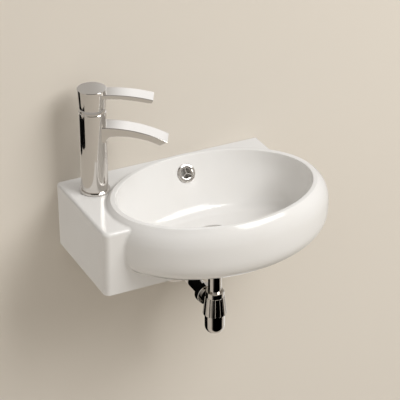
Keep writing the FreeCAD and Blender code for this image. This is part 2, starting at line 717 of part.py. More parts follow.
def ports(height, z):
    """The hot, cold and mixed water ways."""
    return [on_circle("port_radius", height, z, "port_circle", degrees) for degrees in (60, -60, 180)]


def outlet_block(name, width, length, foot, top):
    """A block square to the slanted outlet face of the spout, its depth counted into the spout."""
    body = padded(name, "XZ_Plane", width, (f"-({length}) / 2", foot), (f"({length}) / 2", foot),
                  (f"({length}) / 2", top), (f"-({length}) / 2", top))
    return place(body, "outlet_x", "0", "outlet_z", Y_AXIS, "-outlet_slant")


def arch(crown, crown_reach, radius, x):
    """Height of an arch at a distance from the tap's axis."""
    return f"({crown} - {radius} + sqrt(({radius}) ^ 2 - (({x}) - {crown_reach}) ^ 2))"


def make_tap_body():
    """The cast body with its arched spout, cartridge chamber and threaded inlets."""
    groove = "body_radius - 0.6"
    thread = "nut_thread + fit_gap"
    column = turned("tap_column", ("0", "base_ring_height"), (groove, "base_ring_height"),
                    (groove, "base_ring_height + 0.7"), ("body_radius", "base_ring_height + 1.1"),
                    ("body_radius", "body_height - 0.6"), ("body_radius - 0.6", "body_height"),
                    ("0", "body_height"))
    chamber = turned("tap_chamber", ("0", "chamber_floor"), ("chamber_radius", "chamber_floor"),
                     ("chamber_radius", "shoulder_z - 2"), (thread, "shoulder_z - 2"),
                     (thread, "body_height + 1"), ("0", "body_height + 1"))
    inner = "body_radius - spout_inset"
    neck = "spout_throat_reach - spout_root"
    neck_z = arch("spout_throat", "spout_throat_reach", "spout_under_radius", neck)
    foot_z = neck_z + " - (" + neck + " - body_radius - 0.5)"
    spout = padded("tap_spout", "XZ_Plane", "spout_width", (inner, foot_z),
                   (inner, arch("spout_crown", "spout_crown_reach", "spout_top_radius", inner),
                    "spout_top_radius", 1),
                   ("spout_reach", "spout_tip_z"),
                   ("spout_heel_x", "spout_heel_z", "spout_under_radius", -1),
                   (neck, neck_z, neck + " - body_radius - 0.5", -1),
                   ("body_radius + 0.5", foot_z))
    side = value("spout_width / 2")
    start = value("body_radius + 1")
    round_edges(spout, "spout_edge", lambda at, edge: abs(abs(at.y) - side) < 0.01 and at.x > start)
    inlets = [on_circle("inlet_radius", "inlet_depth", "base_ring_height", "inlet_circle", degrees)
              for degrees in (60, -60)]
    stud_hole = on_circle("stud_radius + fit_gap", "stud_grip", "base_ring_height", "inlet_circle", 180)
    ways = ports("chamber_floor", "base_ring_height + inlet_depth - 1")[:2]
    recess = outlet_block("outlet_recess", "aerator_width + 2 * fit_gap", "aerator_length + 2 * fit_gap",
                          "-3", "aerator_depth + aerator_set")
    keep(on_tap(cut(fuse(column, spout), chamber, recess, stud_hole, *inlets, *ways)), "tap_body")


def make_aerator():
    """The slotted insert in the mouth of the spout."""
    top = "aerator_depth + aerator_set"
    block = outlet_block("aerator_block", "aerator_width", "aerator_length", "aerator_set", top)
    chamber = outlet_block("aerator_chamber", "aerator_width - 2", "aerator_length - 2",
                           "aerator_set + aerator_plate", top + " + 1")
    slots = [outlet_block("aerator_slot", "1.3", "aerator_length - 2.6", "-1", top) for number in range(7)]
    for number, slot in enumerate(slots):
        bind(slot, Placement__Base__y=f"(aerator_width - 4) / 7 * ({number} - 3)")
    keep(on_tap(cut(block, chamber, *slots)), "aerator")


def make_tap_base():
    """The base ring with its rubber, and the stud with the horseshoe clamp under the deck."""
    keep(on_tap(ring("tap_base_seal", "tap_hole_radius", "base_ring_radius - 1", "0", "base_seal")),
         "tap_base_seal")
    base = turned("tap_base_ring", ("tap_hole_radius - 1", "base_seal"), ("base_ring_radius", "base_seal"),
                  ("base_ring_radius", "base_ring_height - 1"),
                  ("base_ring_radius - 0.9", "base_ring_height"),
                  ("tap_hole_radius - 1", "base_ring_height"))
    keep(on_tap(base), "tap_base_ring")
    stud = turned("tap_stud", ("0", "-stud_drop"), ("stud_radius - 0.7", "-stud_drop"),
                  ("stud_radius", "-stud_drop + 0.7"), ("stud_radius", "base_ring_height + stud_grip"),
                  ("0", "base_ring_height + stud_grip"))
    keep(on_tap(grouped(place(stud, "-inlet_circle"))), "tap_fixing_stud")
    hole_radius = "stud_radius + fit_gap"
    for label, roof, height in (("tap_clamp_seal", "-ceramic_wall", "clamp_seal"),
                                ("tap_clamp_plate", "-ceramic_wall - clamp_seal", "clamp_plate")):
        foot = f"{roof} - {height}"
        slot = box("2 * clamp_radius", "2 * clamp_slot", height, "stud_radius - inlet_circle + 2",
                   "-clamp_slot", foot)
        hole = on_circle(hole_radius, height, foot, "inlet_circle", 180)
        keep(on_tap(cut(cylinder("clamp_radius", height, z=foot), slot, hole)), label)
    foot = "-ceramic_wall - clamp_seal - clamp_plate - tap_nut_height"
    nut = cut(hexagon("tap_nut_corner", "tap_nut_height", "-inlet_circle", "0", foot),
              cylinder(hole_radius, "tap_nut_height", "-inlet_circle", "0", foot))
    keep(on_tap(nut), "tap_fixing_nut")


def make_cartridge():
    """The 35 mm cartridge: seal, base, two ceramic discs, housing, turret, stem and pin."""
    seal = cylinder("disc_radius - fit_gap", "cartridge_seal", z="chamber_floor")
    keep(on_tap(cut(seal, *ports("cartridge_seal", "chamber_floor"))), "cartridge_base_seal")
    base = turned("cartridge_base_blank", ("0", "chamber_floor + cartridge_seal"),
                  ("disc_radius", "chamber_floor + cartridge_seal"), ("disc_radius", "chamber_floor"),
                  ("cartridge_radius", "chamber_floor"), ("cartridge_radius", "base_foot"),
                  ("0", "base_foot"))
    keep(on_tap(cut(base, *ports("cartridge_base_height", "chamber_floor"))), "cartridge_base")
    disc = cylinder("disc_radius", "disc_height", z="base_foot")
    keep(on_tap(cut(disc, *ports("disc_height", "base_foot"))), "fixed_disc")
    housing = turned("housing", ("cavity_radius", "base_foot"), ("cartridge_radius", "base_foot"),
                     ("cartridge_radius", "shoulder_z"), ("collar_radius", "shoulder_z"),
                     ("collar_radius", "collar_top"), ("turret_radius + fit_gap", "collar_top"),
                     ("turret_radius + fit_gap", "cavity_top"), ("cavity_radius", "cavity_top"))
    keep(on_tap(housing), "cartridge_body")
    nut = turned("nut", ("collar_radius + fit_gap", "shoulder_z"), ("nut_thread", "shoulder_z"),
                 ("nut_thread", "body_height - 0.4"), ("nut_neck", "body_height - 0.4"),
                 ("nut_neck", "collar_top - 0.7"), ("collar_radius + fit_gap", "collar_top - 0.7"))
    keep(on_tap(nut), "cartridge_nut")


def make_moving_disc():
    """The ceramic disc that the stem slides, with its carrier; it starts at the back of its stroke."""
    middle = "-slider_travel / 2"
    disc = cylinder("slider_radius", "slider_height", middle, z="slider_foot")
    carrier = cylinder("carrier_radius", "carrier_height", z="slider_top")
    pocket = cylinder("stem_ball + 2 * fit_gap", "carrier_height + 2", z="slider_top - 2")
    channel = box("1.2 * slider_radius", "0.5 * slider_radius", "1.2", "-0.6 * slider_radius - slider_travel / 2",
                  "-0.25 * slider_radius", "slider_foot")
    keep(on_tap(cut(fuse(disc, carrier), pocket, channel)), "moving_disc")


def cross_hole(radius, length, z):
    """A cylinder across the tap, square to the spout."""
    return cylinder(radius, length, "0", f"{length} / 2", z, X_AXIS, "90")


def make_stem():
    """The turret that turns in the neck, the stem that tilts in it and the pin between them."""
    blank = turned("turret_blank", ("0", "turret_foot"), ("disc_radius", "turret_foot"),
                   ("disc_radius", "cavity_top - 2 * fit_gap"),
                   ("turret_radius", "cavity_top - 2 * fit_gap"), ("turret_radius", "collar_top + 2"),
                   ("0", "collar_top + 2"))
    slot = box("2 * stem_swing", "stem_width + 4 * fit_gap", "2 * stem_rise", "-stem_swing",
               "-stem_width / 2 - 2 * fit_gap", "body_height - stem_rise")
    pin_hole = cross_hole("pin_radius", "4 * turret_radius", "body_height")
    keep(on_tap(cut(blank, slot, pin_hole)), "cartridge_turret")
    half = "stem_depth / 2"
    bar = padded("stem_bar", "XZ_Plane", "stem_width", (f"-{half}", "body_height - stem_block"),
                 (half, "body_height - stem_block"), (half, "body_height + stem_rise - 1"),
                 (f"{half} - 1", "body_height + stem_rise"), (f"1 - {half}", "body_height + stem_rise"),
                 (f"-{half}", "body_height + stem_rise - 1"))
    neck = cylinder("0.65 * stem_ball", "stem_ball_drop - stem_block + 1", z="body_height - stem_ball_drop")
    ball = sphere("stem_ball", "body_height - stem_ball_drop")
    stem = cut(fuse(bar, neck, ball), cross_hole("pin_radius + fit_gap", "2 * stem_width", "body_height"))
    keep(on_tap(stem), "cartridge_stem")
    pin = cross_hole("pin_radius", "pin_length", "body_height")
    keep(on_tap(grouped(pin)), "stem_pin")


def make_dome():
    """The domed cover on the cartridge nut, its centre on the stem's pin."""
    inner = "dome_radius - dome_wall"
    ledge = "collar_top - 0.5"
    cover = turned("dome", ("nut_neck + fit_gap", "body_height"),
                   ("dome_radius", "body_height", "dome_radius", -1),
                   ("dome_mouth", "body_height + sqrt(dome_radius ^ 2 - dome_mouth ^ 2)"),
                   ("dome_mouth", f"body_height + sqrt(({inner}) ^ 2 - dome_mouth ^ 2)", inner, 1),
                   (f"sqrt(({inner}) ^ 2 - (collar_rise - 0.5) ^ 2)", ledge),
                   ("nut_neck + fit_gap", ledge))
    keep(on_tap(cover), "dome_cover")


def make_handle():
    """The handle: a flared head hollowed for the dome, and an arched lever."""
    hollow = "dome_radius + handle_clearance"
    head = turned("handle_head", ("handle_foot", "handle_foot_z"), ("handle_head", "handle_top - 0.5"),
                  ("handle_head - 0.5", "handle_top"), ("0", "handle_top"),
                  ("0", f"body_height + {hollow}", hollow, 1),
                  (f"sqrt(({hollow}) ^ 2 - handle_gap ^ 2)", "handle_foot_z"))
    root = "handle_foot - 9"
    under = "lever_radius - lever_height"
    heel = "lever_reach - lever_height"

    def lever_top(x):
        return arch("lever_crown", "lever_crown_reach", "lever_radius", x)

    def lever_foot(x):
        return arch("(lever_crown - lever_height)", "lever_crown_reach", f"({under})", x)

    lever = padded("handle_lever", "XZ_Plane", "lever_width", (root, lever_top(root), "lever_radius", 1),
                   ("lever_reach", lever_top("lever_reach"), "0.85 * lever_height", 1),
                   (heel, lever_foot(heel), under, -1), (root, lever_foot(root)))
    side = value("lever_width / 2")
    start = value("handle_head + 1")
    round_edges(lever, "lever_edge", lambda at, edge: abs(abs(at.y) - side) < 0.01 and at.x > start)
    socket = box("stem_depth + 2 * fit_gap", "stem_width + 2 * fit_gap", "stem_rise - 10",
                 "-stem_depth / 2 - fit_gap", "-stem_width / 2 - fit_gap", "body_height + 10")
    screw_hole = at_screw(cylinder("screw_radius + fit_gap", "handle_head"))
    cap_hole = at_screw(ring("cap_hole", "0", "cap_radius + fit_gap", "handle_foot + 0.3 - cap_height",
                             "handle_head + 1"))
    keep(on_tap(cut(fuse(head, lever), socket, screw_hole, cap_hole)), "handle")
    tip = "stem_depth / 2 + fit_gap"
    back = "stem_depth / 2 + screw_length"
    screw = turned("set_screw", ("0", tip), ("screw_radius - 0.6", tip), ("screw_radius", f"{tip} + 0.6"),
                   ("screw_radius", back), ("key_radius", back), ("key_radius", f"{back} - key_depth"),
                   ("0", f"{back} - key_depth"))
    keep(on_tap(grouped(at_screw(screw))), "handle_screw")
    inside = "handle_foot + 0.3 - cap_height"
    cap = turned("screw_cap", ("0", inside), ("cap_radius", inside), ("cap_radius", "handle_foot"),
                 ("cap_radius - 0.3", "handle_foot + 0.3"), ("0", "handle_foot + 0.3"))
    keep(on_tap(grouped(at_screw(cap))), "handle_cap")


def at_screw(item):
    """Set an item on the set screw's axis, its Z axis out of the back of the handle."""
    return place(item, "0", "0", "screw_z", Y_AXIS, "-90")


# Waste and trap ----------------------------------------------------------------------------------

def make_waste():
    """The flanged waste with its windows, seals and backnut."""
    blank = turned("waste_blank", ("flange_radius", "flange_foot"), ("flange_radius", "flange_top - 1"),
                   ("flange_radius - 1.2", "flange_top"), ("plug_radius + 1.2", "flange_top"),
                   ("plug_radius + 0.6", "plug_ledge"), ("waste_bore + 1.6", "plug_ledge"),
                   ("waste_bore", "plug_ledge - 1.6"), ("waste_bore", "waste_foot"),
                   ("waste_radius", "waste_foot"), ("waste_radius", "flange_foot"))
    guide = "2 * waste_bore + 1"
    bars = [box(guide, "4", "guide_height", f"-({guide}) / 2", "-2", "guide_foot"),
            box("4", guide, "guide_height", "-2", f"-({guide}) / 2", "guide_foot"),
            cylinder("plug_stem_radius + 3", "guide_height", z="guide_foot")]
    across = "2 * waste_radius + 2"
    windows = [box(across, "window_width", "duct_depth", f"-({across}) / 2", "-window_width / 2", "duct_floor"),
               box("window_width", across, "duct_depth", "-window_width / 2", f"-({across}) / 2", "duct_floor")]
    guide_bore = cylinder("plug_stem_radius + fit_gap", "2 * guide_height", z="guide_foot - 1")
    keep(on_drain(cut(fuse(cut(blank, *windows), *bars), guide_bore)), "waste_body")
    keep(on_drain(ring("waste_top_seal", "waste_hole_radius + 0.5", "flange_radius - 1",
                       "flange_foot - flange_seal", "flange_foot")), "waste_top_seal")
    keep(on_drain(ring("waste_lower_seal", "waste_radius + fit_gap", "backnut_radius - 4",
                       "boss_foot - lower_seal", "boss_foot")), "waste_lower_seal")
    nut_foot = "boss_foot - lower_seal - backnut_height"
    nut = cut(hexagon("backnut_radius", "backnut_height", z=nut_foot),
              cylinder("waste_radius + fit_gap", "backnut_height", z=nut_foot))
    keep(on_drain(nut), "waste_backnut")


def make_plug():
    """The push plug: a domed cap on a stem, with its sealing ring."""
    plug = turned("plug", ("0", "plug_foot - plug_stem_length"),
                  ("plug_stem_radius", "plug_foot - plug_stem_length"), ("plug_stem_radius", "plug_foot"),
                  ("plug_radius - 0.6", "plug_foot"), ("plug_radius", "plug_foot + 0.6"),
                  ("plug_radius", "plug_foot + plug_height - plug_crown - 0.7"),
                  ("plug_radius - 0.7", "plug_foot + plug_height - plug_crown",
                   "((plug_radius - 0.7) ^ 2 + plug_crown ^ 2) / (2 * plug_crown)", -1),
                  ("0", "plug_foot + plug_height"))
    keep(on_drain(plug), "waste_plug")
    keep(on_drain(ring("plug_seal_ring", "waste_bore + 2.2", "plug_radius - 0.8", "plug_foot - plug_seal",
                       "plug_foot")), "plug_seal_ring")


def make_trap_inlet():
    """Coupling nut, washer, inlet tube with its rolled flange, and the crown nut on the trap."""
    tube_bore = "tube_radius + fit_gap"
    nut = turned("coupling_nut", ("waste_radius + fit_gap", "tube_top - 2"),
                 ("waste_radius + fit_gap", "coupling_foot + coupling_height"),
                 ("coupling_radius - 0.8", "coupling_foot + coupling_height"),
                 ("coupling_radius", "coupling_foot + coupling_height - 0.8"),
                 ("coupling_radius", "coupling_foot + coupling_lip"), ("tube_radius + 3", "coupling_foot"),
                 (tube_bore, "coupling_foot"), (tube_bore, "tube_top - 2"))
    keep(on_drain(nut), "trap_coupling_nut")
    keep(on_drain(ring("trap_top_washer", "tube_radius", "waste_radius - 0.5", "tube_top",
                       "waste_foot")), "trap_top_washer")
    end = "-trap_top - trap_dip"
    tube = turned("inlet_tube", ("tube_radius - tube_wall", end), ("tube_radius", end),
                  ("tube_radius", "tube_top - 2"), ("tube_flange", "tube_top - 2"),
                  ("tube_flange", "tube_top"), ("tube_radius - tube_wall", "tube_top"))
    keep(on_drain(tube), "trap_inlet_tube")
    top = "-trap_top + crown_height"
    crown = turned("inlet_nut", ("neck_radius + fit_gap", "-trap_top"), ("crown_radius", "-trap_top"),
                   ("crown_radius", top + " - 1"), ("crown_radius - 1", top), (tube_bore, top),
                   (tube_bore, "neck_top + trap_washer"), ("neck_radius + fit_gap", "neck_top + trap_washer"))
    keep(on_drain(crown), "trap_inlet_nut")
    keep(on_drain(ring("trap_inlet_seal", tube_bore, "neck_radius", "neck_top",
                       "neck_top + trap_washer")), "trap_inlet_seal")


def make_trap_body():
    """The tapered and fluted trap body with its neck, cup socket and side branch."""
    wall = "trap_body_top - 2"
    socket = "cup_radius + fit_gap"
    blank = turned("trap_blank", (socket, "cup_top"), ("trap_body_foot", "cup_top"),
                   ("trap_body_top", "-trap_top - 0.8"), ("trap_body_top - 0.8", "-trap_top"),
                   ("neck_radius", "-trap_top"), ("neck_radius", "neck_top"), ("tube_radius + 0.8", "neck_top"),
                   ("tube_radius + 0.8", "-trap_top - 3"), (wall, "-trap_top - 3"),
                   (wall, "socket_top"), (socket, "socket_top"))
    flutes = []
    for number in range(int(value("trap_flutes"))):
        degrees = 360 * (number + 0.5) / int(value("trap_flutes"))
        around = FreeCAD.Rotation(Z_AXIS, degrees)
        flutes.append(cylinder("flute_radius", "trap_body_height + 4",
                               f"(trap_body_foot + 0.8) * cos({degrees})",
                               f"(trap_body_foot + 0.8) * sin({degrees})", "cup_top - 1",
                               around.multVec(Y_AXIS), "-atan((trap_body_foot - trap_body_top)"
                                                       " / trap_body_height)"))
    branch = on_outlet(turned("trap_branch", ("0", "0"), ("branch_radius", "0"),
                              ("branch_radius", "branch_reach"), ("0", "branch_reach")))
    bore = on_outlet(ring("branch_bore", "0", "tube_radius + fit_gap", "0", "branch_reach + 1"))
    chamber = cylinder(wall, "-trap_top - 3 - socket_top", z="socket_top")
    thread = cylinder(socket, "socket_depth + 1", z="cup_top - 1")
    passage = cylinder("tube_radius + 0.8", "neck_top + trap_top + 5", z="-trap_top - 4")
    solid = fuse(cut(blank, *flutes), branch)
    keep(on_drain(cut(solid, chamber, bore, thread, passage)), "trap_body")


def on_outlet(item):
    """Set an item on the outlet's axis, its Z axis from the trap to the wall."""
    return place(item, z="-outlet_drop", axis=X_AXIS, turn="-90")


def make_trap_cup():
    """The cup that unscrews for cleaning, with its seal."""
    foot = "cup_top - cup_height"
    inner = "cup_radius - cup_wall"
    cup = turned("cup", ("0", foot), ("cup_radius - cup_round", foot, "cup_round", -1),
                 ("cup_radius", foot + " + cup_round"), ("cup_radius", "socket_top - trap_washer"),
                 (inner, "socket_top - trap_washer"), (inner, foot + " + cup_round", "cup_round - cup_wall", 1),
                 ("cup_radius - cup_round", foot + " + cup_wall"), ("0", foot + " + cup_wall"))
    keep(on_drain(cup), "trap_cup")
    keep(on_drain(ring("trap_cup_seal", "trap_body_top - 1.8", "cup_radius", "socket_top - trap_washer",
                       "socket_top")), "trap_cup_seal")


def make_trap_outlet():
    """The union nut and seal on the branch, the pipe into the wall and its rosette."""
    bore = "tube_radius + fit_gap"
    nut = turned("union_nut", ("branch_radius + fit_gap", "branch_reach - 9"),
                 ("union_radius - 0.8", "branch_reach - 9"), ("union_radius", "branch_reach - 8.2"),
                 ("union_radius", "branch_reach - 10 + union_length"),
                 ("union_radius - 1", "branch_reach - 9 + union_length"),
                 (bore, "branch_reach - 9 + union_length"), (bore, "branch_reach + trap_washer"),
                 ("branch_radius + fit_gap", "branch_reach + trap_washer"))
    keep(on_drain(grouped(on_outlet(nut))), "trap_outlet_nut")
    seal = ring("outlet_seal", bore, "branch_radius", "branch_reach", "branch_reach + trap_washer")
    keep(on_drain(grouped(on_outlet(seal))), "trap_outlet_seal")
    inside = "tube_radius - tube_wall"
    groove = "tube_radius - pipe_groove"
    groove_end = "bowl_from_wall - pipe_groove_place"
    groove_start = groove_end + " - pipe_groove_width"
    pipe = turned("outlet_pipe", (inside, "branch_reach - 14"), ("tube_radius", "branch_reach - 14"),
                  ("tube_radius", groove_start), (groove, groove_start), (groove, groove_end),
                  ("tube_radius", groove_end), ("tube_radius", "bowl_from_wall + pipe_in_wall"),
                  (inside, "bowl_from_wall + pipe_in_wall"))
    keep(on_drain(grouped(on_outlet(pipe))), "trap_outlet_pipe")
    top = "bowl_from_wall - rosette_depth"
    hole = "tube_radius + 0.25"
    rosette = turned("rosette", (hole, top), ("tube_radius + 3", top, "1.9 * rosette_depth", -1),
                     ("rosette_radius - 1", "bowl_from_wall - 2"), ("rosette_radius", "bowl_from_wall - 1.2"),
                     ("rosette_radius", "bowl_from_wall"), ("rosette_radius - 1.4", "bowl_from_wall"),
                     ("rosette_radius - 2.2", "bowl_from_wall - 1.6", "1.9 * rosette_depth", 1),
                     ("tube_radius + 3", top + " + 1.2"), (hole, top + " + 1.2"))
    keep(on_drain(grouped(on_outlet(rosette))), "wall_rosette")


# Build -------------------------------------------------------------------------------------------

def check():
    """Stop at any object that failed and at any piece without a sound solid."""
    for item in document.Objects:
        if {"Invalid", "Error"} & set(item.State):
            raise RuntimeError(f"{item.Name} did not build: {item.State}")
    for piece in pieces:
        if piece.Shape.isNull() or not piece.Shape.isValid() or not piece.Shape.Solids:
            raise RuntimeError(f"{piece.Label} is not a sound solid")


def write():
    os.makedirs("parts", exist_ok=True)
    for piece in pieces:
        piece.Shape.exportStep(f"parts/{piece.Label}.step")
        print(f"{piece.Label:22} {len(piece.Shape.Solids)} solid(s) {piece.Shape.Volume / 1000:9.2f} cm3")


fill_sheet()
for make in (make_basin, make_overflow_ring, make_wall_fixings, make_tap_base, make_tap_body, make_aerator,
             make_cartridge, make_moving_disc, make_stem, make_dome, make_handle, make_waste, make_plug,
             make_trap_inlet, make_trap_body, make_trap_cup, make_trap_outlet):
    make()
document.recompute()
check()
write()
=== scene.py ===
import json
import math

import bpy
import numpy as np
from bpy.props import FloatProperty, FloatVectorProperty, IntProperty, PointerProperty
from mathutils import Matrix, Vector


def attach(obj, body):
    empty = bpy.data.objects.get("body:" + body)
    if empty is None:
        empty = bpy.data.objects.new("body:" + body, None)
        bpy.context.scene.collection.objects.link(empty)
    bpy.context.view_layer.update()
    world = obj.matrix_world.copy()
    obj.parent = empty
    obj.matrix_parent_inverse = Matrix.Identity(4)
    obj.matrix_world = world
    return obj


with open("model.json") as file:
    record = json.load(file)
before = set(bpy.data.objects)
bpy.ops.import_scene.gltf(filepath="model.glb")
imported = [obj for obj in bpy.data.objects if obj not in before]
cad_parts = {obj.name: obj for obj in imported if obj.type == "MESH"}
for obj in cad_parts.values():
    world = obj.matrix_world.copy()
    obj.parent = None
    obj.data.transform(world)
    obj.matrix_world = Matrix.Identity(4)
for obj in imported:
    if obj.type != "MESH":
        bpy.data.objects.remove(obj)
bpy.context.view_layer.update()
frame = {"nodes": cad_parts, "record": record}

# Finishes and studio for a wall hung hand basin with a single-lever tap and a bottle trap.
# Metres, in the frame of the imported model: the origin lies midway between the two wall fixings on
# the wall face, +X to the right of a person facing the basin, +Y into the wall, +Z up.

bl_info = {
    "name": "Wall Hung Hand Basin",
    "version": (1, 0, 0),
    "blender": (4, 5, 0),
    "location": "View3D > Sidebar > Basin",
    "description": "Glaze, chrome and a plain studio for a wall hung hand basin",
    "category": "Object",
}

MM = 0.001

# The shelf's outside, which the cove follows: the level of its deck, the places of its front at the
# deck and of its right end, the rounding round the deck, and how the front draws in towards the
# bottom, by 4 mm over its height of 111.5 mm.
DECK = 55 * MM
SHELF_FRONT = -187 * MM
SHELF_RIGHT = 180.5 * MM
SHELF_EDGE = 5.5 * MM
FRONT_LEAN = 4 / 111.5

# The bowl's outside, which the cove follows too: an oval of these half sizes at its widest level,
# whose curve would close RISE above that level and DROP below it, and is cut off flat at its base.
BOWL_AXIS = (32.3 * MM, -136.8 * MM)
WIDEST = 17.5 * MM
HALF_LENGTH = 191.4 * MM
HALF_WIDTH = 138.5 * MM
RISE = 76.4 * MM
RISE_FULLNESS = 2.67
DROP = 65 * MM
DROP_FULLNESS = 3.05
BASE = -45 * MM

# How the cove's ball is rolled: the steps that settle it at each place, the fewest and the most
# places that it may take, and how near to its start it ends its round, in shares of the spacing.
SETTLING_STEPS = 6
FEWEST_PLACES = 20
MOST_PLACES = 1000
ROUND_WITHIN = 0.75

# The cove's back lies this many times as far from the ball's centre as the corner of shelf and bowl,
# so that it is inside the clay, and the cove's edges stand this much proud of the glaze.
COVE_DEPTH = 1.1
COVE_PROUD = 0.03 * MM

# A wave texture takes 20 radians for each unit of its scale. One radian of the brass's rings is 0.8 mm.
WAVE_RADIANS = 20
RING_RADIAN = 0.8

# The camera of the photograph, in degrees, millimetres and metres.
CAMERA_AZIMUTH = -26.43
CAMERA_ELEVATION = 29.03
CAMERA_SENSOR = 36
CAMERA_LENS = 153
CAMERA_PLACE = (-1.0351, -2.2303, 1.3432)
NEAREST_SEEN = 0.1
FARTHEST_SEEN = 50

# The soft lamp, and the room's light: its shares of the room's level from below and from above, and
# the heights of the direction at which it has these, where 1 is straight up.
KEY_PLACE = (1.3, -1.7, 2.0)
KEY_AIM = (0, -0.1, 0.05)
SHARE_BELOW = 0.72
SHARE_ABOVE = 1.1
HEIGHT_BELOW = -0.7
HEIGHT_ABOVE = 0.5

# The wall, a hair behind the basin's back, and the floor: centres and half sides.
WALL_CENTRE = (0, 0.001, 0.7)
WALL_HALF_LENGTH = 3
WALL_HALF_HEIGHT = 1.5
FLOOR_CENTRE = (0, -1)
FLOOR_HALF_SIDE = 4

# A fading card is even up to this share of its half side and clear at its edge.
FADE_START = 0.4


def linear(hex_colour):
    """A colour written as sRGB hex, as the linear values that a shader takes, by sRGB's own curve."""
    parts = [int(hex_colour[place:place + 2], 16) / 255 for place in (0, 2, 4)]
    return [part / 12.92 if part <= 0.04045 else ((part + 0.055) / 1.055) ** 2.4 for part in parts]


# Sizes and colours ------------------------------------------------------------------------------

def colour(name, description, hex_colour):
    """A colour that the user can change."""
    return FloatVectorProperty(name=name, description=description, subtype="COLOR", size=3, min=0,
                               max=1, default=linear(hex_colour))


def length(name, description, default, least, most):
    """A length that the user can change."""
    return FloatProperty(name=name, description=description, default=default, min=least, max=most,
                         subtype="DISTANCE", unit="LENGTH")


class CeramicSettings(bpy.types.PropertyGroup):
    glaze: colour("Glaze", "Colour of the fired white glaze", "EDECEA")
    glaze_shade: colour("Glaze Shade", "Colour where the glaze ran a little thicker", "E9E7E3")
    cove_radius: length("Cove Radius", "Hollow rounding where the bowl meets the shelf",
                        6 * MM, 1 * MM, 6.4 * MM)
    cove_spacing: length("Cove Spacing", "Distance between two sections of the cove",
                         2.5 * MM, 1 * MM, 6 * MM)
    cove_segments: IntProperty(name="Cove Segments", description="Faces across the cove",
                               default=10, min=4, max=24)


class MetalSettings(bpy.types.PropertyGroup):
    chrome: colour("Chrome", "Colour of the chrome plating", "DBD7D2")
    steel: colour("Steel", "Colour of the zinc plated steel", "B9B8B4")
    brass: colour("Brass", "Colour of the bare brass", "C9A566")


class SmallPartSettings(bpy.types.PropertyGroup):
    rubber: colour("Rubber", "Colour of the seals", "1B1B1C")
    plastic: colour("Plastic", "Colour of the moulded plastic", "D4D2CC")
    alumina: colour("Alumina", "Colour of the ceramic discs", "EFEDE6")


class StageSettings(bpy.types.PropertyGroup):
    wall: colour("Wall", "Colour of the backdrop behind the basin", "E6E0D6")
    floor: colour("Floor", "Colour of the floor", "DDD8D0")
    room: colour("Room", "Colour of the light from all around", "FAF5EF")
    room_level: FloatProperty(name="Room Level", description="Strength of the light from all around",
                              default=0.5, min=0, max=1)
    key_power: FloatProperty(name="Key Power", description="Power of the soft lamp on the right",
                             default=55, min=0, max=200, subtype="POWER", unit="POWER")
    key_size: length("Key Size", "Side of the soft lamp on the right", 1.6, 0.2, 3)
    floor_drop: length("Floor Drop", "Wall fixings above the floor", 0.8, 0.4, 1.2)


SETTINGS = {"basin_ceramic": CeramicSettings, "basin_metal": MetalSettings,
            "basin_small": SmallPartSettings, "basin_stage": StageSettings}


# Materials --------------------------------------------------------------------------------------

def add_node(tree, kind, sockets=(), **settings):
    """Add a node, set its properties, and fill its sockets with values or with other nodes' outputs."""
    node = tree.nodes.new(kind)
    for name, setting in settings.items():
        setattr(node, name, setting)
    for name, source in dict(sockets).items():
        if isinstance(source, bpy.types.NodeSocket):
            tree.links.new(source, node.inputs[name])
        else:
            node.inputs[name].default_value = source
    return node


def new_material(name):
    """An empty node material, or the one that has the name already."""
    material = bpy.data.materials.get(name) or bpy.data.materials.new(name)
    material.use_nodes = True
    material.node_tree.nodes.clear()
    return material


def rgba(shade):
    """A colour with full cover, as the shaders' sockets take it."""
    return (*shade, 1)


def set_surface(material, shader):
    """Give a material its finished shader."""
    add_node(material.node_tree, "ShaderNodeOutputMaterial", {"Surface": shader.outputs[0]})
    return material


def per_metre(millimetres):
    """The scale of a pattern whose features are this far apart."""
    return 1 / (millimetres * MM)


def vitreous_glaze():
    """Vitreous china under a clear fired glaze: a white body seen through a thin coat of glass, whose
    surface tension leaves a very faint waviness and thicker, slightly warmer pools."""
    settings = bpy.context.scene.basin_ceramic
    material = new_material("vitreous_glaze")
    tree = material.node_tree
    point = add_node(tree, "ShaderNodeTexCoord").outputs["Object"]
    pools = add_node(tree, "ShaderNodeTexNoise", {
        "Vector": point, "Scale": per_metre(70), "Detail": 2.0})
    shade = add_node(tree, "ShaderNodeMix", {
        "Factor": pools.outputs["Fac"], "A": rgba(settings.glaze), "B": rgba(settings.glaze_shade)},
        data_type="RGBA")
    waves = add_node(tree, "ShaderNodeTexNoise", {
        "Vector": point, "Scale": per_metre(14), "Detail": 1.0})
    bump = add_node(tree, "ShaderNodeBump", {
        "Height": waves.outputs["Fac"], "Strength": 0.35, "Distance": 0.03 * MM})
    shader = add_node(tree, "ShaderNodeBsdfPrincipled", {
        "Base Color": shade.outputs["Result"], "Roughness": 0.13, "IOR": 1.52,
        "Normal": bump.outputs["Normal"]})
    return set_surface(material, shader)


